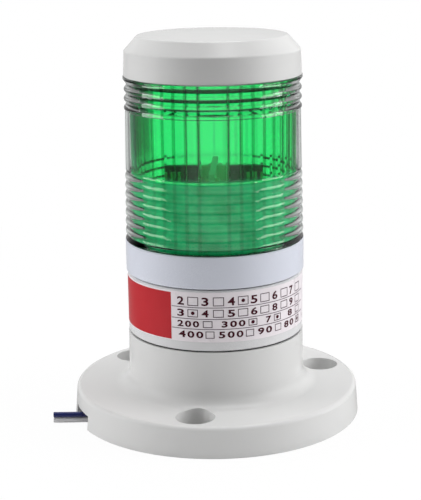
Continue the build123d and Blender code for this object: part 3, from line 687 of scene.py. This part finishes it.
ROWS = [
    (37.45, 2.2, 3.0, short_row("234567"), SHORT_BOXES, [2]),
    (34.25, 1.9, 2.9, short_row("345689"), SHORT_BOXES, [0]),
    (31.35, 1.65, 2.6, [("200", -10.7, -4.5), ("300", 1.6, 8.2), ("7", 14.5, 16.3), ("8", 23.1, 25.3)],
     [-3.5, 9.1, 17.3, 27.3], [1, 2]),
    (28.35, 1.75, 2.4, [("400", -10.4, -3.4), ("500", 0.8, 7.6), ("90", 11.9, 16.6), ("80", 21.4, 26.1)],
     [-2.8, 8.3, 17.7, 27.5], [3]),
]
ink = Print("label_numbers", "dark_ink", DARK_INK_PROUD)
boxes = Print("label_boxes", "box_ink", DARK_INK_PROUD)
for low, height, width, numbers, box_places, ticked in ROWS:
    for text, left, right in numbers:
        ink.number(text, left, right, low, height)
    for index, box_left in enumerate(box_places):
        boxes.box(box_left, box_left + width, low - BOX_BELOW, low + height + BOX_OVER, BOX_LINE)
        if index in ticked:
            ink.dot(box_left + width / 2, low + height / 2, TICK_RADIUS)
boxes.make()
ink.make()
lines.make()

# %% [markdown]
# The studio is a pale floor with a white surround, two broad lamps at the sides and one overhead. The camera's own
# side of the studio is dark, so the front of the tower is its darkest part, both sides brighten towards their
# edges, and the lens shows no haze of reflections.
#
# The floor is paper that takes the tower's faint shadow. Lit paper would show a little grey, so nearly all that the
# camera sees of it is a white glow, and far from the tower all of it. Rays through the lens see that glow too, and
# rays off a glossy surface half of it, in front of the tower and behind it. Beside the tower it is dim for both, as
# if dark flags stood there, and that gives the clear lens its dark edges.

# %% Floor
FLOOR_REACH = 4.0
TABLE_EDGE = -0.22
SHADOW_SHARE = 0.05
NEAR_SQUARED, FAR_SQUARED = 0.01, 0.06
FLAG_SLOPE = 0.5
FLAG_FROM, FLAG_TO = -0.02, 0.10
FLAG_THROUGH = 0.25
FLAG_MIRRORED, OPEN_MIRRORED = 0.12, 0.47


def ray_is(finish, kind):
    """1 for rays of a kind, such as Camera, else 0."""
    return finish.node("ShaderNodeLightPath", output=f"Is {kind} Ray")


floor_finish = new_finish("floor")
paper = floor_finish.node("ShaderNodeBsdfDiffuse", {}, {"Color": floor_finish.blend(
    floor_finish.noise(8.0), (0.86, 0.86, 0.86), (0.90, 0.90, 0.90))})
spot = floor_finish.place()
bright = (abs(spot.part(0)) - abs(spot.part(1)) * FLAG_SLOPE).ramp(FLAG_TO, FLAG_FROM)
seen, through, mirrored = (ray_is(floor_finish, kind) for kind in ("Camera", "Transmission", "Glossy"))
light = (seen + through * bright.span(FLAG_THROUGH, 1.0)).most(mirrored * bright.span(FLAG_MIRRORED, OPEN_MIRRORED))
glow = floor_finish.node("ShaderNodeEmission", {}, {
    "Color": floor_finish.blend(light, (0.0, 0.0, 0.0), (1.0, 1.0, 1.0)), "Strength": 1.0})
far = spot.off_axis().ramp(NEAR_SQUARED, FAR_SQUARED)
share = (seen + through + mirrored) * far.span(1 - SHADOW_SHARE, 1.0)
floor_mesh = bpy.data.meshes.new("floor")
floor_mesh.from_pydata(
    [(-FLOOR_REACH, TABLE_EDGE, 0), (FLOOR_REACH, TABLE_EDGE, 0), (FLOOR_REACH, FLOOR_REACH, 0),
     (-FLOOR_REACH, FLOOR_REACH, 0)], [], [(0, 1, 2, 3)])
floor = bpy.data.objects.new("floor", floor_mesh)
bpy.context.scene.collection.objects.link(floor)
floor.data.materials.append(floor_finish.surface(floor_finish.mixed(share, paper, glow)))
print("floor:", floor.dimensions.x, "m wide, from", TABLE_EDGE, "m")

# %% [markdown]
# The surround says how bright the studio is in each direction, and differs by the kind of ray. The camera sees plain
# white. Rays through the lens see white below the ceiling, less at the sides, where the flags stand. Mirrored rays
# see a soft light behind that leans to the right. All others, which light the plain surfaces, see soft light that is
# brightest behind. The strongest of the four counts.

# %% Surround, dark on the camera's side and overhead
FRONT_TO_BACK, FRONT_SHARE = (-0.95, 0.15), 0.05
CEILING_TO_WALL, CEILING_SHARE = (0.55, 0.10), 0.2
LEAN_RANGE, RIGHT_LEAN = (-0.3, 0.9), 0.8
FLAG_RANGE, FLAG_SHARE = (0.45, 0.75), 0.7
SOFT_LEVEL, MIRRORED_LEVEL = 0.52, 0.6
surround = Finish(bpy.data.worlds.new("surround"))
towards = surround.place()
behind = towards.part(1).ramp(*FRONT_TO_BACK).span(FRONT_SHARE, 1.0)
below = towards.part(2).ramp(*CEILING_TO_WALL).span(CEILING_SHARE, 1.0)
leaning = (towards.part(1) + towards.part(0) * RIGHT_LEAN).ramp(*LEAN_RANGE)
flags = abs(towards.part(0)).ramp(*FLAG_RANGE)
seen, mirrored, through = (ray_is(surround, kind) for kind in ("Camera", "Glossy", "Transmission"))
strength = seen.most(through * below * (1 - flags * FLAG_SHARE)).most(mirrored * leaning * MIRRORED_LEVEL)
strength = strength.most(behind * SOFT_LEVEL * (1 - mirrored))
sky = surround.node("ShaderNodeBackground", {}, {"Color": (1.0, 1.0, 1.0), "Strength": strength})
bpy.context.scene.world = surround.surface(sky, "ShaderNodeOutputWorld")
print("soft light behind:", SOFT_LEVEL, "in front:", round(SOFT_LEVEL * FRONT_SHARE, 3))

# %% [markdown]
# The side lamps shape the tower: they light its sides and leave its front darker. They are kept out of glossy rays,
# which would show them as broad blots on the lens. Only the overhead lamp is mirrored, so each bead carries one thin
# bright line at either side, as in the photograph.

# %% Lamps
LAMP_TARGET = Vector((0, 0, 0.05))


def lamp(name, place, size, watts, mirrored=False):
    """Square soft lamp that points at the tower. Only a mirrored one shows in glossy surfaces."""
    light = bpy.data.lights.new(name, "AREA")
    light.size, light.energy = size, watts
    holder = bpy.data.objects.new(name, light)
    bpy.context.scene.collection.objects.link(holder)
    holder.location = place
    holder.visible_glossy = mirrored
    holder.rotation_euler = (LAMP_TARGET - Vector(place)).to_track_quat("-Z", "Y").to_euler()


lamp("left_lamp", (-0.62, -0.04, 0.26), 0.45, 2.5)
lamp("right_lamp", (0.61, -0.07, 0.28), 0.45, 2.85)
lamp("top_lamp", (0.05, 0.10, 0.75), 0.5, 2.65, mirrored=True)
bpy.context.scene.view_settings.view_transform = "Standard"
print("lamps:", len(bpy.data.lights))

# %% [markdown]
# Last, the view layer is brought up to date. The box of a curve is padded by its radius, so the leads' ends count
# 0.7 mm too far out in a box of the scene.

# %% Bring the scene up to date
bpy.context.view_layer.update()
